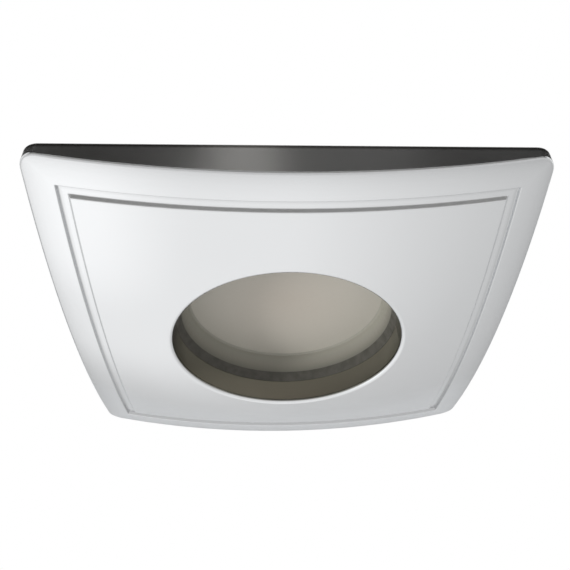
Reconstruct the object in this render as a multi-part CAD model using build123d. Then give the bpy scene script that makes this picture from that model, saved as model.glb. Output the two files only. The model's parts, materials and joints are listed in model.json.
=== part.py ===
from build123d import *
import math
import os

# Recessed ceiling spotlight with a square domed bezel, in millimetres.
# The origin is on the lamp's axis in the plane of the ceiling. +Z points up into the ceiling void.

# Square bezel, the only piece seen from the room
COVER_MARGIN = 8.0  # how far the bezel covers the ceiling past the cut-out, in the middle of a side
BEZEL_CORNER_RADIUS = 3.2
CROWN_HEIGHT = 11.4  # ceiling plane down to the middle of the dome, as if it had no aperture
CORNER_HEIGHT = 2.32  # ceiling plane down to the dome at a corner
BEZEL_WALL = 2.0
FACE_EDGE_RADIUS = 0.5
APERTURE_INSET = 2.2  # how far the light well's edge lies inside the lamp's rim
APERTURE_EDGE_RADIUS = 0.8
WELL_TAPER = 0.2  # the light well narrows by this much, on its radius, up to the lens seat
WELL_WALL = 1.8  # outside the recess that holds the lens
SEAT_DEPTH = 4.7  # ceiling plane down to the lens seat
BORDER_WIDTH = 5.3  # bezel's edge to the groove
GROOVE_WIDTH = 2.2
GROOVE_DEPTH = 0.6
GROOVE_FLOOR_WIDTH = 1.45
GROOVE_INNER_RUN = 0.42  # width of the groove's inner slope
GROOVE_EASE = 0.05  # taken off each of the groove's edges
RIB_WIDTH = 1.5
RIB_DROP = 2.6  # ceiling plane down to the ribs that carry the ceiling gasket

# Lens and its gasket
GLASS_OVERLAP = 1.1  # how far the glass rim reaches over the seat
GLASS_RIM_HEIGHT = 1.8
GLASS_RIM_INSET = 0.85  # from the seat's edge in to the mouth of the dished glass
GLASS_DISH_DEPTH = 4.2
GLASS_DISH_TAPER = 1.0
GLASS_THICKNESS = 2.0
GLASS_WALL = 1.5
GLASS_RIM_DRAFT = 0.4  # the dish's outside is this much narrower where it leaves the rim
GLASS_CHAMFER = 0.3
GLASS_CLEARANCE = 0.1
GASKET_FRONT_LIP = 2.0  # seen inside the light well
GASKET_REAR_LIP = 0.8
GASKET_WALL = 1.0
GASKET_CLEARANCE = 0.2

# Ceiling gasket of soft foam
FOAM_HEIGHT = 3.0
FOAM_CLEARANCE = 0.8

# Collar that passes through the ceiling's cut-out and holds the lamp
CUTOUT_CLEARANCE = 0.4
FLANGE_MARGIN = 1.05  # from a folded clip or a screw head to the flange's edge
FLANGE_THICKNESS = 2.0
LEDGE_WIDTH = 1.6  # under the lamp's rim
CLAMP_WIDTH = 1.4  # over the lens gasket
COLLAR_WALL = 2.0
COLLAR_RISE = 4.7  # above the clips' pivots
CIRCLIP_SLOT_WIDTH = 8.0

# Screws between collar and bezel
SCREW_COUNT = 4
SCREW_RADIUS = 1.5
SCREW_LENGTH = 6.5
SCREW_HEAD_RADIUS = 2.8
SCREW_HEAD_HEIGHT = 2.0
SCREW_RECESS_WIDTH = 0.7
SCREW_RECESS_LENGTH = 3.2
SCREW_RECESS_DEPTH = 1.1
SCREW_CLEARANCE = 0.2
THREAD_CLEARANCE = 0.02
BOSS_WALL = 1.7
PILOT_SPARE_DEPTH = 0.5

# Reflector lamp with a two-pin base
LAMP_RADIUS = 25.2
LAMP_LENGTH = 34.0  # from the rim to the top of the base
LAMP_CLEARANCE = 0.3
LAMP_LENS_GAP = 0.4
LAMP_RIM_HEIGHT = 2.6
LAMP_RIM_STEP = 1.4
LAMP_NECK_RADIUS = 8.5
LAMP_NECK_HEIGHT = 3.0
LAMP_BOWL_BULGE = 3.2
REFLECTOR_RIM_WALL = 1.7
REFLECTOR_SHOULDER = 0.8  # the cover glass sits on this
CAPSULE_BORE_RADIUS = 5.5
COVER_GLASS_THICKNESS = 1.5
COVER_GLASS_INSET = 0.3
COVER_GLASS_CLEARANCE = 0.1
CAPSULE_RADIUS = 4.4
CAPSULE_LENGTH = 9.0
PINCH_LENGTH = 9.0
PINCH_WIDTH = 7.6
PINCH_THICKNESS = 3.0
PINCH_SINK = 1.5  # how far the pinched end sits in the base
PINCH_CLEARANCE = 0.1
LAMP_BASE_LENGTH = 15.0
LAMP_BASE_WIDTH = 8.8
LAMP_BASE_HEIGHT = 11.0
LAMP_BASE_EDGE = 2.0
PIN_SPACING = 5.3
PIN_RADIUS = 0.775
PIN_LENGTH = 6.5
PIN_ROOT = 5.0
PIN_CLEARANCE = 0.02

# Wire ring that keeps the lamp in the collar
CIRCLIP_WIRE = 1.6
CIRCLIP_SINK = 0.6  # depth of the collar's groove
CIRCLIP_CLEARANCE = 0.05
CIRCLIP_BEND_RADIUS = 2.4
CIRCLIP_TAIL = 5.0
CIRCLIP_TAIL_GAP = 3.5

# Lampholder that pushes onto the lamp's pins
HOLDER_LENGTH = 19.0
HOLDER_WIDTH = 9.5
HOLDER_BODY_HEIGHT = 6.6
HOLDER_COVER_HEIGHT = 1.8
HOLDER_EDGE = 1.5
HOLDER_FLOOR = 0.5  # below the contacts
PIN_ENTRY_CLEARANCE = 0.15
CONTACT_CLEARANCE = 0.05  # a running fit on the lamp's pins
CONTACT_WALL = 0.5
CONTACT_SEAT_CLEARANCE = 0.02
LEAD_HOLE_RADIUS = 1.1
RIVET_SPACING = 13.6
RIVET_RADIUS = 1.0
RIVET_HEAD_RADIUS = 1.7
RIVET_HEAD_HEIGHT = 0.5
RIVET_CLEARANCE = 0.02
RIVET_SINK = 0.8

# Sprung clips that hold the fitting up, on one diagonal of the bezel
CLIP_AZIMUTH = 45.0  # of the right clip, with the left one opposite
CLIP_CLEARANCE = 0.4  # from the turning clip to the collar
PIVOT_HEIGHT = 10.6  # above the ceiling plane
AXLE_RADIUS = 1.0
AXLE_CLEARANCE = 0.05
AXLE_SEAT_CLEARANCE = 0.02
AXLE_HEAD_RADIUS = 1.8
AXLE_HEAD_HEIGHT = 0.8
WASHER_THICKNESS = 0.6
WASHER_RADIUS = 2.3
AXLE_END = 0.6  # past the washer
EAR_THICKNESS = 2.0
EAR_WALL = 1.6
EAR_GAP = 0.3  # on each side of the arm
ARM_WIDTH = 9.0
ARM_TIP_WIDTH = 6.0
ARM_LENGTH = 22.8
ARM_SHOULDER = 7.0  # length of the side cheeks past the pivot
ARM_SHEET = 1.0
CHEEK_WALL = 1.6
TIP_REST_GAP = 1.0  # from the ceiling plane to a relaxed clip's tip
BOOT_LENGTH = 12.0
BOOT_WALL = 0.8
BOOT_NOSE = 1.8
BOOT_END_RADIUS = 2.4
BOOT_CLEARANCE = 0.05
SPRING_WIRE = 0.8
SPRING_TURNS = 3
SPRING_PITCH = 1.4
SPRING_CLEARANCE = 0.3  # round the axle
SPRING_SEAT_GAP = 0.1
SPRING_ARM_LEG = 9.0
SPRING_WALL_LEG = 4.0

# Heights along the axis
SEAT_Z = -SEAT_DEPTH
GLASS_Z = SEAT_Z + GASKET_FRONT_LIP
GLASS_RIM_TOP_Z = GLASS_Z + GLASS_RIM_HEIGHT
GLASS_FACE_Z = GLASS_Z + GLASS_DISH_DEPTH
GLASS_BACK_Z = GLASS_FACE_Z + GLASS_THICKNESS
FLANGE_Z = GLASS_RIM_TOP_Z + GASKET_REAR_LIP
FLANGE_TOP_Z = FLANGE_Z + FLANGE_THICKNESS
COLLAR_TOP_Z = PIVOT_HEIGHT + COLLAR_RISE
LAMP_Z = GLASS_BACK_Z + LAMP_LENS_GAP
LAMP_TOP_Z = LAMP_Z + LAMP_LENGTH
LAMP_NECK_Z = LAMP_TOP_Z - LAMP_BASE_HEIGHT
CIRCLIP_Z = LAMP_Z + LAMP_RIM_HEIGHT + CIRCLIP_WIRE / 2 + CIRCLIP_CLEARANCE
HOLDER_COVER_Z = LAMP_TOP_Z + HOLDER_BODY_HEIGHT
HOLDER_TOP_Z = HOLDER_COVER_Z + HOLDER_COVER_HEIGHT

# Directions from the axis, in degrees
CLIP_AZIMUTHS = {"right": CLIP_AZIMUTH, "left": CLIP_AZIMUTH + 180}
CIRCLIP_AZIMUTH = CLIP_AZIMUTH + 90

# A clip's own sizes, measured from its pivot
CHEEK_RADIUS = AXLE_RADIUS + AXLE_CLEARANCE + CHEEK_WALL
EAR_RADIUS = AXLE_RADIUS + AXLE_SEAT_CLEARANCE + EAR_WALL
PIVOT_STANDOFF = CHEEK_RADIUS + CLIP_CLEARANCE
COIL_RADIUS = AXLE_RADIUS + SPRING_CLEARANCE + SPRING_WIRE / 2
ARM_TOP = -(COIL_RADIUS + SPRING_WIRE / 2 + SPRING_SEAT_GAP)
ARM_BOTTOM = ARM_TOP - ARM_SHEET
EAR_INNER = ARM_WIDTH / 2 + EAR_GAP
EAR_OUTER = EAR_INNER + EAR_THICKNESS

# Radii about the axis, from the lens out to the ceiling's cut-out
APERTURE_RADIUS = LAMP_RADIUS - APERTURE_INSET
SEAT_RADIUS = APERTURE_RADIUS - WELL_TAPER
GLASS_MOUTH_RADIUS = SEAT_RADIUS - GLASS_RIM_INSET
GLASS_FACE_RADIUS = GLASS_MOUTH_RADIUS - GLASS_DISH_TAPER
GLASS_CUP_RADIUS = GLASS_FACE_RADIUS + GLASS_WALL
GLASS_RIM_STEP_RADIUS = GLASS_MOUTH_RADIUS + GLASS_WALL - GLASS_RIM_DRAFT
GLASS_RADIUS = SEAT_RADIUS + GLASS_OVERLAP
GASKET_RADIUS = GLASS_RADIUS + GLASS_CLEARANCE + GASKET_WALL
RECESS_RADIUS = GASKET_RADIUS + GASKET_CLEARANCE
WELL_OUTER_RADIUS = RECESS_RADIUS + WELL_WALL
COLLAR_MOUTH_RADIUS = min(LAMP_RADIUS - LEDGE_WIDTH, GASKET_RADIUS - CLAMP_WIDTH)
POCKET_RADIUS = LAMP_RADIUS + LAMP_CLEARANCE
COLLAR_RADIUS = POCKET_RADIUS + COLLAR_WALL
CIRCLIP_GROOVE_RADIUS = POCKET_RADIUS + CIRCLIP_SINK
CIRCLIP_RADIUS = CIRCLIP_GROOVE_RADIUS - CIRCLIP_CLEARANCE - CIRCLIP_WIRE / 2
PIVOT_RADIUS = COLLAR_RADIUS + PIVOT_STANDOFF
BOSS_RADIUS = SCREW_RADIUS + BOSS_WALL
BOSS_CIRCLE_RADIUS = max(COLLAR_RADIUS + SCREW_HEAD_RADIUS + SCREW_CLEARANCE, WELL_OUTER_RADIUS + BOSS_RADIUS)
FOLDED_CLIP_RADIUS = PIVOT_RADIUS - ARM_BOTTOM + BOOT_WALL
FLANGE_RADIUS = max(FOLDED_CLIP_RADIUS, BOSS_CIRCLE_RADIUS + SCREW_HEAD_RADIUS) + FLANGE_MARGIN
CUTOUT_RADIUS = FLANGE_RADIUS + CUTOUT_CLEARANCE
BEZEL_WIDTH = 2 * (CUTOUT_RADIUS + COVER_MARGIN)
FOAM_INNER_RADIUS = CUTOUT_RADIUS + FOAM_CLEARANCE
FOAM_OUTER_RADIUS = BEZEL_WIDTH / 2 - BEZEL_WALL - FOAM_CLEARANCE

# The dome is the sphere through its crown and the bezel's four corners
CORNER_REACH = (BEZEL_WIDTH / 2 - BEZEL_CORNER_RADIUS) * math.sqrt(2) + BEZEL_CORNER_RADIUS
DOME_RISE = CROWN_HEIGHT - CORNER_HEIGHT
DOME_RADIUS = (CORNER_REACH**2 + DOME_RISE**2) / (2 * DOME_RISE)
DOME_CENTRE_Z = DOME_RADIUS - CROWN_HEIGHT


def lean(run, offset, reach):
    """Angle, in degrees, that brings a point run along and offset across to the given reach across."""
    return math.degrees(math.asin(reach / math.hypot(run, offset)) - math.atan2(offset, run))


# A relaxed clip slopes down until its tip is just above the ceiling plane
CLIP_DROOP = lean(ARM_LENGTH + BOOT_NOSE, BOOT_WALL - ARM_BOTTOM, PIVOT_HEIGHT - TIP_REST_GAP)


def disc(radius, low, high):
    """A plain cylinder about the axis between two heights."""
    return Pos(0, 0, low) * extrude(Circle(radius), high - low)


def ring(outer_radius, inner_radius, low, high):
    """A plain ring about the axis between two heights."""
    return Pos(0, 0, low) * extrude(Circle(outer_radius) - Circle(inner_radius), high - low)


def turned(*points):
    """A solid of revolution from an outline of (radius, height) points."""
    return revolve(Plane.XZ * make_face(Polyline(*points, close=True)), Axis.Z)


def block(length, width, low, high, edge):
    """An upright block on the axis with rounded corners."""
    return Pos(0, 0, low) * extrude(RectangleRounded(length, width, edge), high - low)


def around(count, radius, shape, start=0.0):
    """Copies of a shape set out evenly on a circle about the axis."""
    step = 360 / count
    return [Rot(0, 0, start + step * i) * Pos(radius, 0, 0) * shape for i in range(count)]


def wire_solid(edges, diameter):
    """A round wire that follows joined edges."""
    path = Wire(edges)
    return sweep(Plane(path @ 0, z_dir=path % 0) * Circle(diameter / 2), path)


# Bezel


def dome_z(radius):
    """Height of the dome's face at a distance from the axis."""
    return DOME_CENTRE_Z - math.sqrt(DOME_RADIUS**2 - radius**2)


def dome(depth=0.0):
    """The ball that the dome's face is part of, or one that lies a depth inside it."""
    return Pos(0, 0, DOME_CENTRE_Z) * Rot(90, 0, 0) * Sphere(DOME_RADIUS - depth)


def bezel_prism(inset=0.0):
    """The bezel's square outline, or one inset from it, from the ceiling plane past the dome."""
    width = BEZEL_WIDTH - 2 * inset
    corner = max(BEZEL_CORNER_RADIUS - inset, BEZEL_CORNER_RADIUS / 4)
    return extrude(RectangleRounded(width, width, corner), -CROWN_HEIGHT)


def bezel_shell():
    """The hollow domed plate, with its outer edge eased."""
    solid = bezel_prism() & dome()
    face = solid.faces().filter_by(GeomType.SPHERE)[0]
    solid = fillet(face.edges(), FACE_EDGE_RADIUS)
    return solid - (bezel_prism(BEZEL_WALL) & dome(BEZEL_WALL))


def rib(start, end):
    """An upright web along X that carries the ceiling gasket."""
    outline = Rectangle(end - start, RIB_WIDTH, align=(Align.MIN, Align.CENTER))
    return Pos(start, 0, -CROWN_HEIGHT) * extrude(outline, CROWN_HEIGHT - RIB_DROP)


def bezel_core():
    """Well wall, screw bosses and the ribs that carry the ceiling gasket, behind the dome."""
    bottom = -CROWN_HEIGHT
    core = disc(WELL_OUTER_RADIUS, bottom, FLANGE_Z)
    boss = disc(BOSS_RADIUS, bottom, FLANGE_Z)
    core += around(SCREW_COUNT, BOSS_CIRCLE_RADIUS, boss)
    core += around(4, 0, rib(RECESS_RADIUS, BEZEL_WIDTH / 2 - BEZEL_WALL / 2))
    core += around(4, 0, rib(FOAM_INNER_RADIUS, CORNER_REACH - BEZEL_WALL / 2), 45)
    return core & dome(BEZEL_WALL / 2)


def light_well():
    """The tapered space between the aperture and the lens seat."""
    slope = WELL_TAPER / (SEAT_Z - dome_z(APERTURE_RADIUS))
    mouth = SEAT_RADIUS + slope * (SEAT_Z + CROWN_HEIGHT)
    return turned((0, SEAT_Z), (SEAT_RADIUS, SEAT_Z), (mouth, -CROWN_HEIGHT), (0, -CROWN_HEIGHT))


def groove():
    """A square channel in the dome's face, with steep sides, eased edges and mitred corners."""
    outer = BEZEL_WIDTH / 2 - BORDER_WIDTH
    inner = outer - GROOVE_WIDTH
    floor = inner + GROOVE_INNER_RUN
    floor_end = floor + GROOVE_FLOOR_WIDTH
    inner_wall = Line((inner, dome_z(inner)), (floor, dome_z(floor) + GROOVE_DEPTH))
    outer_wall = Line((outer, dome_z(outer)), (floor_end, dome_z(floor_end) + GROOVE_DEPTH))
    start = inner - GROOVE_EASE
    end = outer + GROOVE_EASE
    outline = Polyline(
        (start, dome_z(start) - GROOVE_DEPTH),
        (start, dome_z(start)),
        inner_wall @ (GROOVE_EASE / inner_wall.length),
        inner_wall @ 1,
        outer_wall @ 1,
        outer_wall @ (GROOVE_EASE / outer_wall.length),
        (end, dome_z(end)),
        (end, dome_z(end) - GROOVE_DEPTH),
        close=True,
    )
    hoop = revolve(Plane.XZ * make_face(outline), Axis((0, 0, DOME_CENTRE_Z), (1, 0, 0)))
    half = BEZEL_WIDTH / 2
    corner_wedge = make_face(Polyline((0, 0), (half, -half), (half, half), close=True))
    side = hoop & extrude(corner_wedge, -2 * CROWN_HEIGHT)
    return around(4, 0, side)


def front_bezel():
    """The die-cast bezel: domed face, groove, light well, lens recess and screw bosses."""
    solid = bezel_shell() + bezel_core() - light_well()
    face = solid.faces().filter_by(GeomType.SPHERE).sort_by(Axis.Z)[0]
    solid = fillet(face.inner_wires()[0].edges(), APERTURE_EDGE_RADIUS)
    solid -= disc(RECESS_RADIUS, SEAT_Z, FLANGE_Z)
    pilot_depth = SCREW_LENGTH - FLANGE_THICKNESS + PILOT_SPARE_DEPTH
    pilot = disc(SCREW_RADIUS + THREAD_CLEARANCE, FLANGE_Z - pilot_depth, FLANGE_Z)
    solid -= around(SCREW_COUNT, BOSS_CIRCLE_RADIUS, pilot)
    return solid - groove()


# Seals and lens


def ceiling_gasket():
    """A flat foam ring on the bezel's ribs, a little proud of the ceiling plane."""
    return ring(FOAM_OUTER_RADIUS, FOAM_INNER_RADIUS, -RIB_DROP, -RIB_DROP + FOAM_HEIGHT)


def lens_gasket():
    """A rubber ring of U section round the rim of the lens, with a sloping front lip."""
    groove_radius = GLASS_RADIUS + GLASS_CLEARANCE
    rear_lip_radius = GLASS_RIM_STEP_RADIUS + GLASS_CLEARANCE
    return turned(
        (SEAT_RADIUS, SEAT_Z),
        (GASKET_RADIUS, SEAT_Z),
        (GASKET_RADIUS, FLANGE_Z),
        (rear_lip_radius, FLANGE_Z),
        (rear_lip_radius, GLASS_RIM_TOP_Z),
        (groove_radius, GLASS_RIM_TOP_Z),
        (groove_radius, GLASS_Z),
        (GLASS_MOUTH_RADIUS, GLASS_Z),
    )


def lens_glass():
    """A dished frosted lens of pressed glass, with a rim that the gasket grips."""
    return turned(
        (0, GLASS_FACE_Z),
        (GLASS_FACE_RADIUS - GLASS_CHAMFER, GLASS_FACE_Z),
        (GLASS_FACE_RADIUS, GLASS_FACE_Z - GLASS_CHAMFER),
        (GLASS_MOUTH_RADIUS, GLASS_Z),
        (GLASS_RADIUS - GLASS_CHAMFER, GLASS_Z),
        (GLASS_RADIUS, GLASS_Z + GLASS_CHAMFER),
        (GLASS_RADIUS, GLASS_RIM_TOP_Z - GLASS_CHAMFER),
        (GLASS_RADIUS - GLASS_CHAMFER, GLASS_RIM_TOP_Z),
        (GLASS_RIM_STEP_RADIUS, GLASS_RIM_TOP_Z),
        (GLASS_CUP_RADIUS, GLASS_BACK_Z - GLASS_CHAMFER),
        (GLASS_CUP_RADIUS - GLASS_CHAMFER, GLASS_BACK_Z),
        (0, GLASS_BACK_Z),
    )


# Collar and its screws


def clip_place(azimuth):
    """A clip's pivot, with X pointing away from the lamp and Y along the axle."""
    return Rot(0, 0, azimuth) * Pos(PIVOT_RADIUS, 0, PIVOT_HEIGHT)


def ears():
    """Two upright ears that hold one clip's axle, measured from its pivot."""
    foot = FLANGE_Z + FLANGE_THICKNESS / 2 - PIVOT_HEIGHT
    back = -PIVOT_STANDOFF - COLLAR_WALL / 2
    plate = Polyline((back, foot), (EAR_RADIUS, foot), (EAR_RADIUS, 0), (back, 0), close=True)
    outline = make_face(plate) + Circle(EAR_RADIUS) - Circle(AXLE_RADIUS + AXLE_SEAT_CLEARANCE)
    ear = extrude(Plane.XZ * outline, -EAR_THICKNESS)
    return [Pos(0, EAR_INNER, 0) * ear, Pos(0, -EAR_OUTER, 0) * ear]


def lamp_collar():
    """A cast ring with a flange, a lamp pocket, a circlip groove and two pairs of ears."""
    solid = disc(FLANGE_RADIUS, FLANGE_Z, FLANGE_TOP_Z) + disc(COLLAR_RADIUS, FLANGE_Z, COLLAR_TOP_Z)
    for azimuth in CLIP_AZIMUTHS.values():
        solid += [clip_place(azimuth) * ear for ear in ears()]
    solid -= disc(COLLAR_MOUTH_RADIUS, FLANGE_Z, LAMP_Z)
    solid -= disc(POCKET_RADIUS, LAMP_Z, COLLAR_TOP_Z)
    half_groove = CIRCLIP_WIRE / 2 + CIRCLIP_CLEARANCE
    solid -= disc(CIRCLIP_GROOVE_RADIUS, CIRCLIP_Z - half_groove, CIRCLIP_Z + half_groove)
    slot_low = CIRCLIP_Z - half_groove
    slot_height = COLLAR_TOP_Z - slot_low
    slot = Pos(0, 0, slot_low + slot_height / 2) * Box(2 * COLLAR_WALL, CIRCLIP_SLOT_WIDTH, slot_height)
    solid -= Rot(0, 0, CIRCLIP_AZIMUTH) * Pos(COLLAR_RADIUS - COLLAR_WALL / 2, 0, 0) * slot
    screw_hole = disc(SCREW_RADIUS + SCREW_CLEARANCE, FLANGE_Z, FLANGE_TOP_Z)
    return solid - around(SCREW_COUNT, BOSS_CIRCLE_RADIUS, screw_hole)


def collar_screws():
    """Cross-recessed screws that clamp the collar, gasket and lens to the bezel."""
    top = FLANGE_TOP_Z + SCREW_HEAD_HEIGHT
    screw = disc(SCREW_RADIUS, FLANGE_TOP_Z - SCREW_LENGTH, FLANGE_TOP_Z)
    screw += disc(SCREW_HEAD_RADIUS, FLANGE_TOP_Z, top)
    bar = Pos(0, 0, top - SCREW_RECESS_DEPTH / 2) * Box(
        SCREW_RECESS_LENGTH, SCREW_RECESS_WIDTH, SCREW_RECESS_DEPTH
    )
    screw -= [bar, Rot(0, 0, 90) * bar]
    return Compound(around(SCREW_COUNT, BOSS_CIRCLE_RADIUS, screw))


# Lamp


def bowl_arc(start, end):
    """An arc between two points of the lamp's section that bulges away from the axis."""
    along = Vector(*end) - Vector(*start)
    outward = Vector(along.Y, -along.X).normalized()
    middle = (Vector(*start) + Vector(*end)) * 0.5 + outward * LAMP_BOWL_BULGE
    return ThreePointArc(start, middle, end)


def lamp_reflector():
    """The pressed-glass bowl with its rim and neck."""
    neck_low = LAMP_NECK_Z - LAMP_NECK_HEIGHT
    rim_top = LAMP_Z + LAMP_RIM_HEIGHT
    shoulder_z = LAMP_Z + COVER_GLASS_INSET + COVER_GLASS_THICKNESS
    mouth = LAMP_RADIUS - REFLECTOR_RIM_WALL
    bowl_mouth = mouth - REFLECTOR_SHOULDER
    outside = bowl_arc((LAMP_RADIUS - LAMP_RIM_STEP, rim_top), (LAMP_NECK_RADIUS, neck_low))
    inside = bowl_arc((bowl_mouth, shoulder_z), (CAPSULE_BORE_RADIUS, neck_low))
    neck_top = [(LAMP_NECK_RADIUS, LAMP_NECK_Z), (CAPSULE_BORE_RADIUS, LAMP_NECK_Z)]
    neck = Polyline(outside @ 1, *neck_top, inside @ 1)
    rim = Polyline(
        inside @ 0,
        (mouth, shoulder_z),
        (mouth, LAMP_Z),
        (LAMP_RADIUS, LAMP_Z),
        (LAMP_RADIUS, rim_top),
        outside @ 0,
    )
    return revolve(Plane.XZ * make_face([outside, inside, *neck.edges(), *rim.edges()]), Axis.Z)


def lamp_cover_glass():
    """The clear disc that closes the reflector."""
    low = LAMP_Z + COVER_GLASS_INSET
    radius = LAMP_RADIUS - REFLECTOR_RIM_WALL - COVER_GLASS_CLEARANCE
    return disc(radius, low, low + COVER_GLASS_THICKNESS)


def lamp_capsule():
    """The quartz capsule with its pinched end."""
    top = LAMP_NECK_Z + PINCH_SINK
    bulb_top = top - PINCH_LENGTH
    bulb_low = bulb_top - CAPSULE_LENGTH + CAPSULE_RADIUS
    bulb = disc(CAPSULE_RADIUS, bulb_low, bulb_top) + Pos(0, 0, bulb_low) * Sphere(CAPSULE_RADIUS)
    return bulb + Pos(0, 0, top - PINCH_LENGTH / 2) * Box(PINCH_WIDTH, PINCH_THICKNESS, PINCH_LENGTH)


def lamp_base():
    """The ceramic base, with a pocket for the capsule's pinched end and two holes for the pins."""
    solid = block(LAMP_BASE_LENGTH, LAMP_BASE_WIDTH, LAMP_NECK_Z, LAMP_TOP_Z, LAMP_BASE_EDGE)
    pocket = Box(PINCH_WIDTH + 2 * PINCH_CLEARANCE, PINCH_THICKNESS + 2 * PINCH_CLEARANCE, PINCH_SINK)
    solid -= Pos(0, 0, LAMP_NECK_Z + PINCH_SINK / 2) * pocket
    hole = disc(PIN_RADIUS + PIN_CLEARANCE, LAMP_TOP_Z - PIN_ROOT, LAMP_TOP_Z)
    return solid - around(2, PIN_SPACING / 2, hole)


def lamp_pins():
    """The lamp's two contact pins."""
    pin = disc(PIN_RADIUS, LAMP_TOP_Z - PIN_ROOT, LAMP_TOP_Z + PIN_LENGTH)
    return Compound(around(2, PIN_SPACING / 2, pin))


def lamp_circlip():
    """An open wire ring in the collar's groove, with two upright tails to squeeze."""
    end_angle = math.degrees((CIRCLIP_TAIL_GAP / 2 + CIRCLIP_BEND_RADIUS) / CIRCLIP_RADIUS)
    hoop = CenterArc((0, 0, CIRCLIP_Z), CIRCLIP_RADIUS, CIRCLIP_AZIMUTH + end_angle, 360 - 2 * end_angle)
    up = Vector(0, 0, CIRCLIP_BEND_RADIUS)
    tail = Vector(0, 0, CIRCLIP_TAIL)
    edges = [hoop]
    for corner, way in ((hoop @ 0, (hoop % 0) * -1), (hoop @ 1, hoop % 1)):
        bend_end = corner + way * CIRCLIP_BEND_RADIUS + up
        edges.append(TangentArc(corner, bend_end, tangent=way))
        edges.append(Line(bend_end, bend_end + tail))
    return wire_solid(edges, CIRCLIP_WIRE)


# Lampholder


def lampholder_body():
    """The ceramic body that seats on the lamp's base, with a chamber for each contact."""
    solid = block(HOLDER_LENGTH, HOLDER_WIDTH, LAMP_TOP_Z, HOLDER_COVER_Z, HOLDER_EDGE)
    entry = disc(PIN_RADIUS + PIN_ENTRY_CLEARANCE, LAMP_TOP_Z, HOLDER_COVER_Z)
    chamber_radius = PIN_RADIUS + CONTACT_CLEARANCE + CONTACT_WALL + CONTACT_SEAT_CLEARANCE
    chamber = disc(chamber_radius, LAMP_TOP_Z + HOLDER_FLOOR, HOLDER_COVER_Z)
    solid -= around(2, PIN_SPACING / 2, entry + chamber)
    hole = disc(RIVET_RADIUS + RIVET_CLEARANCE, LAMP_TOP_Z, HOLDER_COVER_Z)
    sink = disc(RIVET_HEAD_RADIUS + SCREW_CLEARANCE, LAMP_TOP_Z, LAMP_TOP_Z + RIVET_SINK)
    return solid - around(2, RIVET_SPACING / 2, hole + sink)


def lampholder_cover():
    """The ceramic plate over the contacts, with a hole for each supply lead."""
    solid = block(HOLDER_LENGTH, HOLDER_WIDTH, HOLDER_COVER_Z, HOLDER_TOP_Z, HOLDER_EDGE)
    solid -= around(2, PIN_SPACING / 2, disc(LEAD_HOLE_RADIUS, HOLDER_COVER_Z, HOLDER_TOP_Z))
    hole = disc(RIVET_RADIUS + RIVET_CLEARANCE, HOLDER_COVER_Z, HOLDER_TOP_Z)
    return solid - around(2, RIVET_SPACING / 2, hole)


def lampholder_contacts():
    """Two sleeves that grip the lamp's pins."""
    inner = PIN_RADIUS + CONTACT_CLEARANCE
    sleeve = ring(inner + CONTACT_WALL, inner, LAMP_TOP_Z + HOLDER_FLOOR, HOLDER_COVER_Z)
    return Compound(around(2, PIN_SPACING / 2, sleeve))


def lampholder_rivets():
    """Two rivets that hold the cover on the body."""
    low = LAMP_TOP_Z + RIVET_SINK
    rivet = disc(RIVET_RADIUS, low, HOLDER_TOP_Z)
    rivet += disc(RIVET_HEAD_RADIUS, low - RIVET_HEAD_HEIGHT, low)
    rivet += disc(RIVET_HEAD_RADIUS, HOLDER_TOP_Z, HOLDER_TOP_Z + RIVET_HEAD_HEIGHT)
    return Compound(around(2, RIVET_SPACING / 2, rivet))


# Sprung clips, each measured from its pivot with the arm level, then let down to its rest


def clip_heel():
    """How far the arm reaches back from its pivot, so that its lower edge stops at the collar."""
    droop = math.radians(CLIP_DROOP)
    return (PIVOT_STANDOFF - CLIP_CLEARANCE / 2 + ARM_BOTTOM * math.sin(droop)) / math.cos(droop)


def clip_arm():
    """A bent sheet arm: a tapered strip with two cheeks that turn on the axle."""
    heel = clip_heel()
    half = ARM_WIDTH / 2
    half_tip = ARM_TIP_WIDTH / 2
    boot_start = ARM_LENGTH + BOOT_NOSE - BOOT_LENGTH
    right = [(-heel, half), (ARM_SHOULDER, half), (boot_start, half_tip), (ARM_LENGTH, half_tip)]
    left = [(along, -across) for along, across in reversed(right)]
    strip = Pos(0, 0, ARM_BOTTOM) * extrude(make_face(Polyline(*right, *left, close=True)), ARM_SHEET)
    cheek_outline = Polyline(
        (-heel, ARM_BOTTOM), (ARM_SHOULDER, ARM_BOTTOM), (CHEEK_RADIUS, 0), (-heel, 0), close=True
    )
    cheek = make_face(cheek_outline) + Circle(CHEEK_RADIUS) - Circle(AXLE_RADIUS + AXLE_CLEARANCE)
    cheek = extrude(Plane.XZ * cheek, -ARM_SHEET)
    return strip + [Pos(0, half - ARM_SHEET, 0) * cheek, Pos(0, -half, 0) * cheek]


def clip_boot():
    """A soft sleeve over the tip of the arm."""
    end = ARM_LENGTH + BOOT_NOSE
    width = ARM_TIP_WIDTH + 2 * (BOOT_CLEARANCE + BOOT_WALL)
    height = ARM_SHEET + 2 * BOOT_WALL
    outside = extrude(RectangleRounded(BOOT_LENGTH, width, BOOT_END_RADIUS), height)
    outside = Pos(end - BOOT_LENGTH / 2, 0, ARM_BOTTOM - BOOT_WALL) * outside
    pocket_length = BOOT_LENGTH - BOOT_NOSE + BOOT_CLEARANCE
    pocket = Box(pocket_length, ARM_TIP_WIDTH + 2 * BOOT_CLEARANCE, ARM_SHEET + 2 * BOOT_CLEARANCE)
    middle = (ARM_BOTTOM + ARM_TOP) / 2
    return outside - Pos(end - BOOT_LENGTH + pocket_length / 2, 0, middle) * pocket


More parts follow.
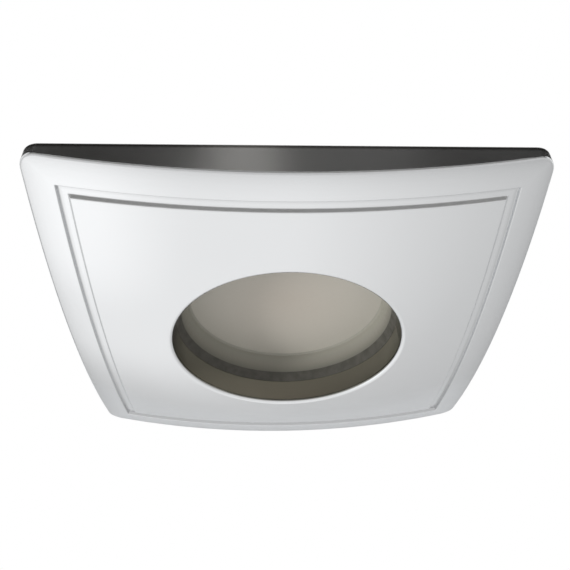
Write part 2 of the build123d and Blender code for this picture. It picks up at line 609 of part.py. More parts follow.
def clip_pin():
    """A headed axle through both ears and the arm's cheeks."""
    head_end = -EAR_OUTER - AXLE_HEAD_HEIGHT
    shank_end = EAR_OUTER + WASHER_THICKNESS + AXLE_END
    shank = extrude(Circle(AXLE_RADIUS), shank_end - head_end)
    head = extrude(Circle(AXLE_HEAD_RADIUS), AXLE_HEAD_HEIGHT)
    return Rot(-90, 0, 0) * Pos(0, 0, head_end) * (shank + head)


def clip_washer():
    """A push-on washer that keeps the axle in its ears."""
    washer = Circle(WASHER_RADIUS) - Circle(AXLE_RADIUS + AXLE_SEAT_CLEARANCE)
    return Rot(-90, 0, 0) * Pos(0, 0, EAR_OUTER) * extrude(washer, WASHER_THICKNESS)


def biarc(start, start_way, end, end_way):
    """Two arcs that leave one point and reach another along the given directions."""
    step = end - start
    ways = start_way + end_way
    turn = 2 * (1 - start_way.dot(end_way))
    reach = (math.sqrt(step.dot(ways) ** 2 + turn * step.dot(step)) - step.dot(ways)) / turn
    near = start + start_way * reach
    far = end - end_way * reach
    middle = (near + far) * 0.5
    return [TangentArc(start, middle, tangent=start_way), TangentArc(middle, end, tangent=far - near)]


def coil_point(angle, along):
    """A point of the spring's coil, at an angle about the axle and a distance along it."""
    return Vector(COIL_RADIUS * math.cos(angle), along, COIL_RADIUS * math.sin(angle))


def coil_way(angle, climb):
    """The direction of the wire there, with its climb along the axle for each unit round it."""
    return Vector(-math.sin(angle), climb, math.cos(angle)).normalized()


def spring_path():
    """The wire's middle line: a leg up the collar's wall, the coil, and a leg along the relaxed arm."""
    wall_reach = PIVOT_STANDOFF - SPRING_WIRE / 2 - SPRING_SEAT_GAP
    first = math.radians(180 + lean(SPRING_WALL_LEG, COIL_RADIUS, wall_reach))
    last = math.radians(270 - CLIP_DROOP + 360 * SPRING_TURNS)
    quarters = math.ceil((last - first) / (math.pi / 2))
    length = SPRING_PITCH * (last - first) / (2 * math.pi)
    slope = SPRING_PITCH / (2 * math.pi * COIL_RADIUS)
    stations = []
    for i in range(quarters + 1):
        angle = first + (last - first) * i / quarters
        climb = 0 if i in (0, quarters) else slope
        stations.append((coil_point(angle, length * (i / quarters - 0.5)), coil_way(angle, climb)))
    edges = []
    for (start, start_way), (end, end_way) in zip(stations, stations[1:]):
        edges += biarc(start, start_way, end, end_way)
    wall_end = stations[0][0] - stations[0][1] * SPRING_WALL_LEG
    arm_end = stations[-1][0] + stations[-1][1] * SPRING_ARM_LEG
    return [Line(wall_end, stations[0][0]), *edges, Line(stations[-1][0], arm_end)]


def least_gap(edges, diameter, spacing):
    """The least gap between stretches of a wire that lie more than a spacing apart along it."""
    path = Wire(edges)
    step = diameter / 4
    count = round(path.length / step)
    points = [path @ (i / count) for i in range(count + 1)]
    skip = round(spacing / step)
    gaps = [(points[i] - points[j]).length for i in range(count + 1) for j in range(i + skip, count + 1)]
    return min(gaps) - diameter


def clip_pieces():
    """One clip's pieces at rest, about its pivot."""
    let_down = Rot(0, CLIP_DROOP, 0)
    spring = spring_path()
    print(f"least gap of a spring to itself {least_gap(spring, SPRING_WIRE, math.pi * COIL_RADIUS):.2f} mm")
    return {
        "clip_arm": let_down * clip_arm(),
        "clip_boot": let_down * clip_boot(),
        "clip_pin": clip_pin(),
        "clip_washer": clip_washer(),
        "clip_spring": wire_solid(spring, SPRING_WIRE),
    }


def all_pieces():
    """Every piece of the fitting under its name."""
    pieces = {
        "front_bezel": front_bezel(),
        "ceiling_gasket": ceiling_gasket(),
        "lens_gasket": lens_gasket(),
        "lens_glass": lens_glass(),
        "lamp_collar": lamp_collar(),
        "collar_screws": collar_screws(),
        "lamp_circlip": lamp_circlip(),
        "lamp_reflector": lamp_reflector(),
        "lamp_cover_glass": lamp_cover_glass(),
        "lamp_capsule": lamp_capsule(),
        "lamp_base": lamp_base(),
        "lamp_pins": lamp_pins(),
        "lampholder_body": lampholder_body(),
        "lampholder_cover": lampholder_cover(),
        "lampholder_contacts": lampholder_contacts(),
        "lampholder_rivets": lampholder_rivets(),
    }
    clip = clip_pieces()
    for side, azimuth in CLIP_AZIMUTHS.items():
        for name, shape in clip.items():
            pieces[f"{side}_{name}"] = clip_place(azimuth) * shape
    return pieces


def main():
    print(f"dome radius {DOME_RADIUS:.2f}, pivot radius {PIVOT_RADIUS:.3f}")
    print(f"clip droop {CLIP_DROOP:.3f} degrees")
    os.makedirs("parts", exist_ok=True)
    for name, shape in all_pieces().items():
        export_step(shape, f"parts/{name}.step")


main()
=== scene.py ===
import json
import math

import bpy
from mathutils import Matrix, Vector

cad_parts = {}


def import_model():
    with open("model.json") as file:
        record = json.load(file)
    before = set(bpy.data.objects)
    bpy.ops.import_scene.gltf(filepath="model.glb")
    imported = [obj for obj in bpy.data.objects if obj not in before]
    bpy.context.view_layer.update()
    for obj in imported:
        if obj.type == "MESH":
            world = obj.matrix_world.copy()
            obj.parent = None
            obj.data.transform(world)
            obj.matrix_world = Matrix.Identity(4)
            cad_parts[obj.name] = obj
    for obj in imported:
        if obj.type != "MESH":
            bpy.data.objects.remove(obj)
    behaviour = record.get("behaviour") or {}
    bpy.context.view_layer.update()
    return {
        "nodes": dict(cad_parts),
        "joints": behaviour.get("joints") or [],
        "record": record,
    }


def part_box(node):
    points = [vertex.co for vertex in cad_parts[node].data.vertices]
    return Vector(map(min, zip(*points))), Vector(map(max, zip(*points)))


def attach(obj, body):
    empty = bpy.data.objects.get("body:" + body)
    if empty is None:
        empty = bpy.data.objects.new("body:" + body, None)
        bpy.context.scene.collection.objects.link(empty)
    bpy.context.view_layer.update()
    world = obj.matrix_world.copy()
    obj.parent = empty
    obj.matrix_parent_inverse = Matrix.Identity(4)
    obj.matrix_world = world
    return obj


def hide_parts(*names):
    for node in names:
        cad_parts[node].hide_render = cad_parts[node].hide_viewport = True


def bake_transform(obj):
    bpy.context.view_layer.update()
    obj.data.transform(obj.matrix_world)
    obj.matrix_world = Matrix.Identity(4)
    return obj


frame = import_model()
nodes = frame["nodes"]

MM = 0.001
FULL_TURN = 2 * math.pi


# Textures: the part of a texture's values that a finish is spread over

NOISE_SPAN = (0.3, 0.7)
TINT_SPAN = (0.35, 0.65)
FLECK_SPAN = (0.5, 0.75)
PORE_SPAN = (0.1, 0.6)
EASE_SAMPLES = 8


# Bezel colour by radius and by height, in millimetres: the chrome face, with painted shade darkening the
# well's bore and a band along the top rim

FACE_COLOUR = (0.83, 0.84, 0.85)
# Painted shade: the bore of the well is coloured darker than the face
WELL_SHADE = (0.26, 0.255, 0.225)
WELL_SHADE_BANDS = ((22.9, WELL_SHADE), (23.05, WELL_SHADE), (23.2, FACE_COLOUR))
NO_SHADE = (1, 1, 1)
# Painted shade: a darker band on the outer wall just below the ceiling plane
RIM_SHADE = (0.34, 0.33, 0.32)
RIM_SHADE_BANDS = ((-0.9, NO_SHADE), (-0.5, RIM_SHADE), (-0.06, RIM_SHADE), (-0.02, NO_SHADE))


# Bezel painted shade: levels by millimetres in from the outer edge, darkening the groove walls and the
# border towards its outer edge

BEZEL_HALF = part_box("front_bezel")[1].x / MM
# Painted shade: the outer side of the groove and the border towards the outer edge are darkened
EDGE_SHADES = (
    (6.4, 1), (5.8, 0.88), (5.64, 0.72), (5.32, 0.72), (5.24, 1),
    (4.5, 1), (2.5, 0.95), (1.2, 0.89), (0.4, 0.82), (0, 0.77),
)
# Painted shade on the inner walls of the near and far grooves, kept off the side grooves by the span
# below
GROOVE_SHADES = ((7.56, 1), (7.48, 0.78), (7.1, 0.78), (7.02, 1))
GROOVE_SPAN = ((7.7, 1), (7.3, 0))


# Lens tones and levels by radius, in millimetres: the dish wall round the face is darkened with painted
# shade

LENS_MIDDLE = (0.475, 0.43, 0.37)
LENS_FACE = (0.49, 0.467, 0.41)
LENS_FACE_BANDS = ((0, LENS_MIDDLE), (19.5, LENS_FACE), (20.4, LENS_FACE))
# Painted shade: the dish wall round the lens face is darkened, most towards its rim
LENS_SHADED_WALL = (0.30, 0.29, 0.247)
LENS_WALL_SHADES = ((20.7, 1), (21.2, 0.98), (21.5, 0.86), (21.8, 0.64), (21.95, 0.5), (24, 0.5))


# Foam ring, in millimetres

FOAM_INNER_RADIUS = 36.8
FOAM_STEPS = 240
FOAM_SIDES = 28
FOAM_POWER = 0.35
FOAM_SIDE_INSET = 0.18
FOAM_FACE_INSET = 0.02
FOAM_WAVE_DEPTH = 0.10
FOAM_WAVES = (7, 3)
FOAM_WAVE_SHIFT = 1
FOAM_RIPPLE_DEPTH = 0.06
FOAM_RIPPLES = 31


# Clip springs, in millimetres

CLIP_DROOP = math.radians(13.420)
COIL_RADIUS = 1.7
COIL_TURNS = 3
COIL_PITCH = 1.4
COIL_STEPS = 36
COIL_EASE = 0.02
WALL_LEG = 4.0
WALL_LEG_STEPS = 8
WALL_REACH = 2.55
ARM_LEG = 9.0
ARM_LEG_STEPS = 12
WIRE_RADIUS = 0.4
WIRE_SIDES = 14
# Rings that round off the wire's ends: each one's radius and its way out, as shares of the wire's radius
WIRE_CAPS = ((0.85, 0.35), (0.5, 0.6), (0.02, 0.7))


# Clip boots, in millimetres along the arm from its pivot

BOOT_START = 12.6
BOOT_END = 24.6
BOOT_MIDDLE = -2.7
BOOT_HALF_WIDTH = 3.85
BOOT_HALF_HEIGHT = 1.3
BOOT_POWER = 0.42
BOOT_SIDES = 40
BOOT_STEPS = 44
RIB_PITCH = 1.5
RIB_WIDTH = 0.1
RIB_HEIGHT = 0.14
ROOT_ROUND = 0.25
LIP_LENGTH = 0.5
LIP_DEPTH = 0.05
MOUTH_DEPTH = 0.25
MOUTH_FLARE = 0.2
MOUTH_POWER = 0.3
POCKET_DEPTH = 2.0
POCKET_HALF_WIDTH = 3.05
POCKET_HALF_HEIGHT = 0.55
POCKET_POWER = 0.25
NOSE_ROUND = 2.4
NOSE_STEPS = 8
NOSE_FLATTENING = 0.75
NOSE_POWER_RISE = 0.3
TIP_SHARE = 0.02


# Camera at the photograph's view, in degrees, metres and the photograph's pixels

VIEW_AZIMUTH = 4.0926
VIEW_ELEVATION = 40.2377
VIEW_ROLL = -2.7179
VIEW_DISTANCE = 0.13479
VIEW_TARGET = Vector((0.00305, -0.01387, 0))
FOCAL_PIXELS = 682.83
PRINCIPAL_POINT = (303.65, 264.43)
IMAGE_SIZE = 570
SENSOR_WIDTH = 36
CLIP_START = 0.005


# Stage, in metres

UP, DOWN = (0, 0, 1), (0, 0, -1)
LEFT, RIGHT = (-1, 0, 0), (1, 0, 0)
NEAR, FAR = (0, -1, 0), (0, 1, 0)
FLOOR = dict(centre=(0, 0, -0.3), size=(8, 8), facing=UP)
FLOOR_COLOUR = (0.84, 0.84, 0.84)
CARD_ROUGHNESS = 0.9
CARD_MOTTLE = 0.97
DARK = (0.02, 0.018, 0.015)
DIM = (0.09, 0.087, 0.082)
MID_GREY = (0.37, 0.36, 0.34)
WARM_GREY = (0.43, 0.425, 0.415)
PALE = (0.8, 0.81, 0.82)
CARDS = {
    "near_card": dict(centre=(0.05, -0.6, 0.58), size=(1.7, 0.82), facing=FAR, colour=DARK),
    "left_card": dict(centre=(-0.8, -0.1, 0.92), size=(1.2, 0.66), facing=RIGHT, colour=DARK),
    "right_card": dict(centre=(0.85, -0.1, 0.92), size=(1.2, 0.66), facing=LEFT, colour=DARK),
    "low_near_card": dict(centre=(0, -0.59, -0.08), size=(2.4, 0.42), facing=FAR, colour=WARM_GREY),
    "far_card": dict(centre=(0, 1.5, 0.35), size=(5.0, 1.3), facing=NEAR, colour=PALE),
    "pale_strip": dict(centre=(-0.035, -0.58, 0.5), size=(0.1, 0.66), facing=FAR, colour=MID_GREY),
    "dim_strip": dict(centre=(0.12, -0.58, 0.5), size=(0.17, 0.66), facing=FAR, colour=DIM),
}
# Each level of a panel is a distance from its brightest place, and the light's strength there
PANELS = {
    "graded_panel": dict(
        centre=(0, 1.0, -0.29), size=(4.0, 2.06), facing=UP, brightest=(0.3, 0.9), scale=(1, 0.7),
        levels=(
            (0, 1.12), (0.1, 1.1), (0.2, 0.91), (0.32, 0.905),
            (0.46, 0.74), (0.6, 0.61), (0.8, 0.545), (1.2, 0.465),
        ),
    ),
    "ceiling_panel": dict(
        centre=(0, 0, 2.2), size=(5.0, 5.0), facing=DOWN, brightest=(0, 0), scale=(1, 1),
        levels=((0, 0.85), (0.9, 0.75), (1.8, 0.55), (3.5, 0.45)),
    ),
}
OVERHEAD = dict(place=(-0.3, 0.1, 1.6), aim=(0, 0, -0.3), size=0.9, power=7)
SIDE_SPOT = dict(place=(-0.4, -0.1, -0.22), aim=(0, 0, -0.005), angle=22, softness=0.09, power=9)
WORLD_LIGHT = 0.75
WORLD_SEEN = 1.0


# Materials

class Look:
    """A procedural material. Textures run in the object's frame, so scales are in cycles per metre."""

    # Places of the colour sockets on a Mix node
    MIX_A, MIX_B, MIX_RESULT = 6, 7, 2

    def __init__(self, name, colour, **values):
        self.material = bpy.data.materials.new(name)
        self.material.use_nodes = True
        self.tree = self.material.node_tree
        self.shader = self.tree.nodes["Principled BSDF"]
        self.place = self.node("ShaderNodeTexCoord").outputs["Object"]
        self.colour = colour
        self.eased = None
        self.shader.inputs["Base Color"].default_value = (*colour, 1)
        for word, value in values.items():
            socket = word.replace("_", " ").title().replace("Ior", "IOR")
            self.shader.inputs[socket].default_value = value

    def node(self, kind, **settings):
        made = self.tree.nodes.new(kind)
        for name, value in settings.items():
            setattr(made, name, value)
        return made

    def join(self, output, socket):
        self.tree.links.new(output, socket)

    def noise(self, scale, detail=3.0, stretch=(1, 1, 1)):
        """Noise from 0 to 1, with its own scale along each axis."""
        mapping = self.node("ShaderNodeMapping")
        mapping.inputs["Scale"].default_value = [scale * s for s in stretch]
        self.join(self.place, mapping.inputs["Vector"])
        made = self.node("ShaderNodeTexNoise")
        made.inputs["Scale"].default_value = 1.0
        made.inputs["Detail"].default_value = detail
        self.join(mapping.outputs["Vector"], made.inputs["Vector"])
        return made.outputs["Fac"]

    def cells(self, scale):
        """Distance to the nearest of many scattered points."""
        made = self.node("ShaderNodeTexVoronoi")
        made.inputs["Scale"].default_value = scale
        self.join(self.place, made.inputs["Vector"])
        return made.outputs["Distance"]

    def radius(self, centre=(0, 0), scale=(1, 1)):
        """Distance from an upright axis, in metres, with its own scale along each side."""
        flat = self.node("ShaderNodeMapping")
        flat.inputs["Location"].default_value = (-centre[0] * scale[0], -centre[1] * scale[1], 0)
        flat.inputs["Scale"].default_value = (*scale, 0)
        self.join(self.place, flat.inputs["Vector"])
        made = self.node("ShaderNodeVectorMath", operation="LENGTH")
        self.join(flat.outputs["Vector"], made.inputs[0])
        return made.outputs["Value"]

    def along(self, axis):
        """Place along one axis, in metres."""
        made = self.node("ShaderNodeSeparateXYZ")
        self.join(self.place, made.inputs["Vector"])
        return made.outputs[axis]

    def reach(self, axis):
        """Distance from the middle along one axis, in metres."""
        made = self.node("ShaderNodeMath", operation="ABSOLUTE")
        self.join(self.along(axis), made.inputs[0])
        return made.outputs[0]

    def square_reach(self):
        """Distance from an upright axis, in metres, measured to the nearest side of a square about it."""
        made = self.node("ShaderNodeMath", operation="MAXIMUM")
        for axis, socket in zip("XY", made.inputs):
            self.join(self.reach(axis), socket)
        return made.outputs[0]

    def ranged(self, value, low, high, span):
        """The value carried over from a span to the range from low to high."""
        made = self.node("ShaderNodeMapRange")
        limits = {"From Min": span[0], "From Max": span[1], "To Min": low, "To Max": high}
        for name, number in limits.items():
            made.inputs[name].default_value = number
        self.join(value, made.inputs["Value"])
        return made.outputs["Result"]

    def ramp(self, value, bands):
        """Colours by a value: each band is a value and its colour, low to high."""
        made = self.node("ShaderNodeValToRGB")
        low, high = bands[0][0], bands[-1][0]
        marks = made.color_ramp.elements
        while len(marks) < len(bands):
            marks.new(0.5)
        for mark, (start, colour) in zip(marks, bands):
            mark.position = (start - low) / (high - low)
            mark.color = (*colour, 1)
        self.join(self.ranged(value, 0, 1, (low, high)), made.inputs["Fac"])
        return made.outputs["Color"]

    def greys(self, value, bands):
        """Greys by a value: each band is a value and its level, low to high."""
        return self.ramp(value, [(start, (level,) * 3) for start, level in bands])

    def within(self, shade, mask):
        """A shade kept to where a mask is white."""
        made = self.node("ShaderNodeMix", data_type="RGBA")
        self.join(mask, made.inputs["Factor"])
        made.inputs[self.MIX_A].default_value = (*NO_SHADE, 1)
        self.join(shade, made.inputs[self.MIX_B])
        return made.outputs[self.MIX_RESULT]

    def darkened(self, colour, *shades):
        """A colour times each of the shades."""
        for shade in shades:
            made = self.node("ShaderNodeMix", data_type="RGBA", blend_type="MULTIPLY")
            made.inputs["Factor"].default_value = 1.0
            self.join(colour, made.inputs[self.MIX_A])
            self.join(shade, made.inputs[self.MIX_B])
            colour = made.outputs[self.MIX_RESULT]
        return colour

    def paint(self, colour, socket="Base Color"):
        """Gives the surface a colour that changes over it."""
        self.join(colour, self.shader.inputs[socket])

    def tint(self, value, other, span=TINT_SPAN):
        """Mixes the base colour towards another colour where the value is high."""
        self.paint(self.ramp(value, ((span[0], self.colour), (span[1], other))))

    def rough(self, value, low, high, span=NOISE_SPAN):
        """Makes the surface duller where the value is high, or glossier if low is above high."""
        self.join(self.ranged(value, low, high, span), self.shader.inputs["Roughness"])

    def ease(self, radius):
        """Softens the look of sharp edges, by a radius in metres. A bump has to follow."""
        made = self.node("ShaderNodeBevel", samples=EASE_SAMPLES)
        made.inputs["Radius"].default_value = radius
        self.eased = made.outputs["Normal"]

    def bump(self, value, depth, strength):
        """Raises the surface by the value times a depth in metres."""
        made = self.node("ShaderNodeBump")
        made.inputs["Strength"].default_value = strength
        made.inputs["Distance"].default_value = depth
        self.join(value, made.inputs["Height"])
        if self.eased is not None:
            self.join(self.eased, made.inputs["Normal"])
        self.join(made.outputs["Normal"], self.shader.inputs["Normal"])


def in_metres(bands):
    """Bands whose places are given in millimetres."""
    return [(place * MM, tone) for place, tone in bands]


def from_edge(bands):
    """Bands whose places are given in millimetres in from the bezel's outer edge."""
    return in_metres([(BEZEL_HALF - inset, tone) for inset, tone in bands])


def satin_chrome():
    look = Look("satin_chrome_look", FACE_COLOUR, metallic=1.0)
    # Painted shade on the chrome colour: darker in the well, along the top rim, in the grooves and
    # towards the outer edge
    well = look.ramp(look.radius(), in_metres(WELL_SHADE_BANDS))
    rim = look.ramp(look.along("Z"), in_metres(RIM_SHADE_BANDS))
    edges = look.greys(look.square_reach(), from_edge(EDGE_SHADES))
    groove = look.greys(look.reach("Y"), from_edge(GROOVE_SHADES))
    groove_span = look.greys(look.reach("X"), from_edge(GROOVE_SPAN))
    look.paint(look.darkened(well, rim, edges, look.within(groove, groove_span)))
    look.rough(look.noise(scale=60), low=0.17, high=0.21)
    look.ease(radius=0.25 * MM)
    look.bump(look.noise(scale=2600), depth=0.002 * MM, strength=0.15)
    return look.material


def dark_rubber():
    look = Look("dark_rubber_look", (0.058, 0.055, 0.046), ior=1.5)
    look.tint(look.noise(scale=500, detail=5), other=(0.082, 0.078, 0.067))
    look.rough(look.noise(scale=900), low=0.5, high=0.75)
    look.bump(look.noise(scale=2500, detail=4), depth=0.03 * MM, strength=0.5)
    return look.material


def frosted_glass():
    look = Look("frosted_glass_look", LENS_FACE, ior=1.5)
    # Painted shade: the dish wall is darkened in the colour
    wall = [(radius, [c * level for c in LENS_SHADED_WALL]) for radius, level in LENS_WALL_SHADES]
    look.paint(look.ramp(look.radius(), in_metres([*LENS_FACE_BANDS, *wall])))
    look.rough(look.noise(scale=1200), low=0.45, high=0.62)
    look.bump(look.noise(scale=5000), depth=0.015 * MM, strength=0.5)
    return look.material


def foam():
    look = Look("foam_look", (0.045, 0.045, 0.047))
    pores = look.cells(scale=1500)
    look.tint(pores, other=(0.095, 0.095, 0.098), span=PORE_SPAN)
    look.rough(pores, low=0.98, high=0.85, span=PORE_SPAN)
    look.bump(pores, depth=0.25 * MM, strength=0.8)
    return look.material


def cast_aluminium():
    look = Look("cast_aluminium_look", (0.62, 0.63, 0.64), metallic=1.0)
    skin = look.noise(scale=1600, detail=6)
    look.tint(look.noise(scale=140, detail=4), other=(0.58, 0.59, 0.60))
    look.rough(skin, low=0.42, high=0.54)
    look.bump(skin, depth=0.08 * MM, strength=0.6)
    return look.material


def zinc_steel():
    look = Look("zinc_steel_look", (0.66, 0.68, 0.69), metallic=1.0)
    look.tint(look.noise(scale=700, detail=4), other=(0.55, 0.57, 0.55))
    look.rough(look.noise(scale=1800), low=0.22, high=0.42)
    look.bump(look.noise(scale=2600), depth=0.01 * MM, strength=0.5)
    return look.material


def spring_steel():
    look = Look("spring_steel_look", (0.46, 0.46, 0.47), metallic=1.0)
    look.tint(look.noise(scale=800, detail=4), other=(0.33, 0.32, 0.31))
    look.rough(look.noise(scale=2400), low=0.2, high=0.38)
    look.bump(look.noise(scale=3000), depth=0.008 * MM, strength=0.5)
    return look.material


def clip_steel():
    look = Look("clip_steel_look", (0.58, 0.59, 0.60), metallic=1.0)
    rolled = look.noise(scale=1300, detail=4, stretch=(1, 0.08, 1))
    look.tint(look.noise(scale=260, detail=5), other=(0.48, 0.49, 0.50))
    look.rough(rolled, low=0.26, high=0.44)
    look.bump(rolled, depth=0.008 * MM, strength=0.5)
    return look.material


def reflector_glass():
    coat = dict(coat_weight=0.8, coat_roughness=0.06)
    look = Look("reflector_glass_look", (0.50, 0.49, 0.56), metallic=0.75, **coat)
    look.tint(look.noise(scale=70), other=(0.62, 0.55, 0.46))
    look.rough(look.noise(scale=600, detail=4), low=0.1, high=0.24)
    look.bump(look.noise(scale=420, detail=4), depth=0.04 * MM, strength=0.4)
    return look.material


def clear(name, colour):
    """Glass that shows what lies behind it."""
    look = Look(name, colour, ior=1.5, transmission_weight=1.0)
    look.tint(look.noise(scale=120), other=(0.97, 0.98, 0.97))
    look.rough(look.noise(scale=500), low=0.02, high=0.07)
    look.bump(look.noise(scale=300), depth=0.01 * MM, strength=0.3)
    return look.material


def clear_glass():
    return clear("clear_glass_look", (0.93, 0.96, 0.95))


def quartz():
    return clear("quartz_look", (0.96, 0.95, 0.93))


def steatite():
    look = Look("steatite_look", (0.74, 0.71, 0.64), ior=1.55)
    look.tint(look.noise(scale=1100, detail=6), other=(0.66, 0.62, 0.55), span=FLECK_SPAN)
    look.rough(look.noise(scale=900, detail=4), low=0.48, high=0.68)
    look.bump(look.noise(scale=1900, detail=5), depth=0.03 * MM, strength=0.6)
    return look.material


def nickel_pins():
    look = Look("nickel_pins_look", (0.70, 0.68, 0.63), metallic=1.0)
    look.tint(look.noise(scale=1500, detail=4), other=(0.58, 0.56, 0.51))
    look.rough(look.noise(scale=3000), low=0.18, high=0.34)
    look.bump(look.noise(scale=3000, stretch=(1, 1, 0.1)), depth=0.006 * MM, strength=0.5)
    return look.material


def contact_brass():
    look = Look("contact_brass_look", (0.72, 0.53, 0.24), metallic=1.0)
    look.tint(look.noise(scale=1200, detail=4), other=(0.56, 0.40, 0.19))
    look.rough(look.noise(scale=2600), low=0.24, high=0.42)
    look.bump(look.noise(scale=2600), depth=0.008 * MM, strength=0.5)
    return look.material


def boot_vinyl():
    look = Look("boot_vinyl_look", (0.075, 0.075, 0.08), ior=1.5)
    look.tint(look.noise(scale=420, detail=5), other=(0.11, 0.11, 0.115))
    look.rough(look.noise(scale=1500), low=0.42, high=0.62)
    look.bump(look.noise(scale=3200), depth=0.02 * MM, strength=0.5)
    return look.material


MAKERS = (
    satin_chrome, dark_rubber, frosted_glass, foam, cast_aluminium,
    zinc_steel, spring_steel, clip_steel, reflector_glass, clear_glass,
    quartz, steatite, nickel_pins, contact_brass, boot_vinyl,
)
looks = {make.__name__: make() for make in MAKERS}

for row in frame["record"]["subparts"]:
    for material_slot in nodes[row["node"]].material_slots:
        material_slot.material = looks[row["material_slot"]]


# Soft and wound pieces, as meshes that stand for their solids

def shown(name, points, faces, look):
    """A smooth mesh object from points in millimetres."""
    mesh = bpy.data.meshes.new(name)
    mesh.from_pydata([Vector(p) * MM for p in points], [], faces)
    mesh.materials.append(looks[look])
    mesh.validate()
    mesh.shade_smooth()
    made = bpy.data.objects.new(name, mesh)
    bpy.context.collection.objects.link(made)
    return made


def angles(count):
    """Even steps round a full turn."""
    return [FULL_TURN * i / count for i in range(count)]


def squared_off(angle, power):
    """An angle's cosine and sine, drawn out towards a square as the power falls from 1."""
    return [math.copysign(abs(v) ** power, v) for v in (math.cos(angle), math.sin(angle))]


def bridged(rings, closed=False):
    """Points and quads of rings of equal count, the last ring joined to the first if closed."""
    count = len(rings[0])
    points = [p for ring in rings for p in ring]
    faces = []
    for i in range(len(rings) if closed else len(rings) - 1):
        a, b = i * count, (i + 1) % len(rings) * count
        faces += [(a + j, a + (j + 1) % count, b + (j + 1) % count, b + j) for j in range(count)]
    return points, faces


def foam_ring():
    """The ceiling gasket: a die-cut foam ring with soft edges and slightly uneven sides."""
    low, high = (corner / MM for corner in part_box("ceiling_gasket"))
    outer, inner = high.x, FOAM_INNER_RADIUS
    middle, half = (outer + inner) / 2, (outer - inner) / 2
    level, rise = (high.z + low.z) / 2, (high.z - low.z) / 2
    rings = []
    for turn in angles(FOAM_STEPS):
        wave = math.sin(FOAM_WAVES[0] * turn) * math.sin(FOAM_WAVES[1] * turn + FOAM_WAVE_SHIFT)
        uneven = FOAM_WAVE_DEPTH * wave + FOAM_RIPPLE_DEPTH * math.sin(FOAM_RIPPLES * turn)
        ring = []
        for angle in angles(FOAM_SIDES):
            across, along = squared_off(angle, FOAM_POWER)
            radius = middle + (half - FOAM_SIDE_INSET + uneven * along) * across
            height = level + (rise - FOAM_FACE_INSET) * along
            ring.append((radius * math.cos(turn), radius * math.sin(turn), height))
        rings.append(ring)
    made = shown("foam_ring", *bridged(rings, closed=True), "foam")
    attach(made, "fitting")
    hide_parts("ceiling_gasket")


class ClipFrame:
    """One clip's own axes: X away from the lamp, Y along the axle, Z up, from its pivot."""

    def __init__(self, side):
        joint = next(j for j in frame["joints"] if j["name"] == f"{side}_clip_fold")
        self.pivot = Vector(joint["pos_m"]) / MM
        self.out = Vector((self.pivot.x, self.pivot.y, 0)).normalized()
        self.along = Vector((-self.out.y, self.out.x, 0))

    def at(self, x, y, z):
        return self.pivot + self.out * x + self.along * y + Vector((0, 0, z))

    def on_arm(self, x, y, z):
        """A point measured along the drooping arm."""
        c, s = math.cos(CLIP_DROOP), math.sin(CLIP_DROOP)
        return self.at(x * c + z * s, y, z * c - x * s)


def spring_line():
    """Points of a spring's wire, and its coil's length.

    One leg lies on the collar's wall, the coil winds round the axle, and the other leg follows the arm.
    Each place on the wire is an angle round the axle, a run straight on from there, and a place along it.
    """
    lean = math.asin(WALL_REACH / math.hypot(WALL_LEG, COIL_RADIUS)) - math.atan2(COIL_RADIUS, WALL_LEG)
    first = math.pi + lean
    last = 1.5 * math.pi - CLIP_DROOP + FULL_TURN * COIL_TURNS
    turns = (last - first) / FULL_TURN
    length = COIL_PITCH * turns
    line = []
    for i in range(WALL_LEG_STEPS):
        line.append((first, -WALL_LEG * (1 - i / WALL_LEG_STEPS), -length / 2))
    steps = round(turns * COIL_STEPS)
    for i in range(steps + 1):
        share = i / steps
        eased = share - COIL_EASE * math.sin(FULL_TURN * share)
        line.append((first + (last - first) * share, 0, length * (eased - 0.5)))
    for i in range(1, ARM_LEG_STEPS + 1):
        line.append((last, ARM_LEG * i / ARM_LEG_STEPS, length / 2))
    points = []
    for angle, run, y in line:
        x = COIL_RADIUS * math.cos(angle) - run * math.sin(angle)
        z = COIL_RADIUS * math.sin(angle) + run * math.cos(angle)
        points.append(Vector((x, y, z)))
    return points, length


def wire(line):
    """Rings of a round wire along points, with eased ends."""
    last = len(line) - 1
    ways = [(line[min(i + 1, last)] - line[max(i - 1, 0)]).normalized() for i in range(last + 1)]
    across = ways[0].orthogonal().normalized()
    spokes = []
    for way in ways:
        across = (across - way * across.dot(way)).normalized()
        other = way.cross(across)
        spokes.append([across * math.cos(a) + other * math.sin(a) for a in angles(WIRE_SIDES)])

    def ring(i, wide=1, way=Vector(), out=0):
        return [line[i] + (spoke * wide + way * out) * WIRE_RADIUS for spoke in spokes[i]]

    head = [ring(0, wide, -ways[0], out) for wide, out in reversed(WIRE_CAPS)]
    tail = [ring(last, wide, ways[last], out) for wide, out in WIRE_CAPS]
    return [*head, *(ring(i) for i in range(last + 1)), *tail]


def clip_spring(side):
    """A torsion spring wound as one wire, with one leg on the fitting and one on the clip."""
    clip = ClipFrame(side)
    line, length = spring_line()
    placed = [clip.at(*p) for p in line]
    made = shown(f"{side}_wound_spring", *bridged(wire(placed)), "spring_steel")
    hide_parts(f"{side}_clip_spring")
    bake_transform(made)


def boot_section(clip, x, half_width, half_height, power=BOOT_POWER):
    """A ring of points round a boot, at a place along the arm."""
    ring = []
    for angle in angles(BOOT_SIDES):
        across, up = squared_off(angle, power)
        ring.append(clip.on_arm(x, half_width * across, BOOT_MIDDLE + half_height * up))
    return ring


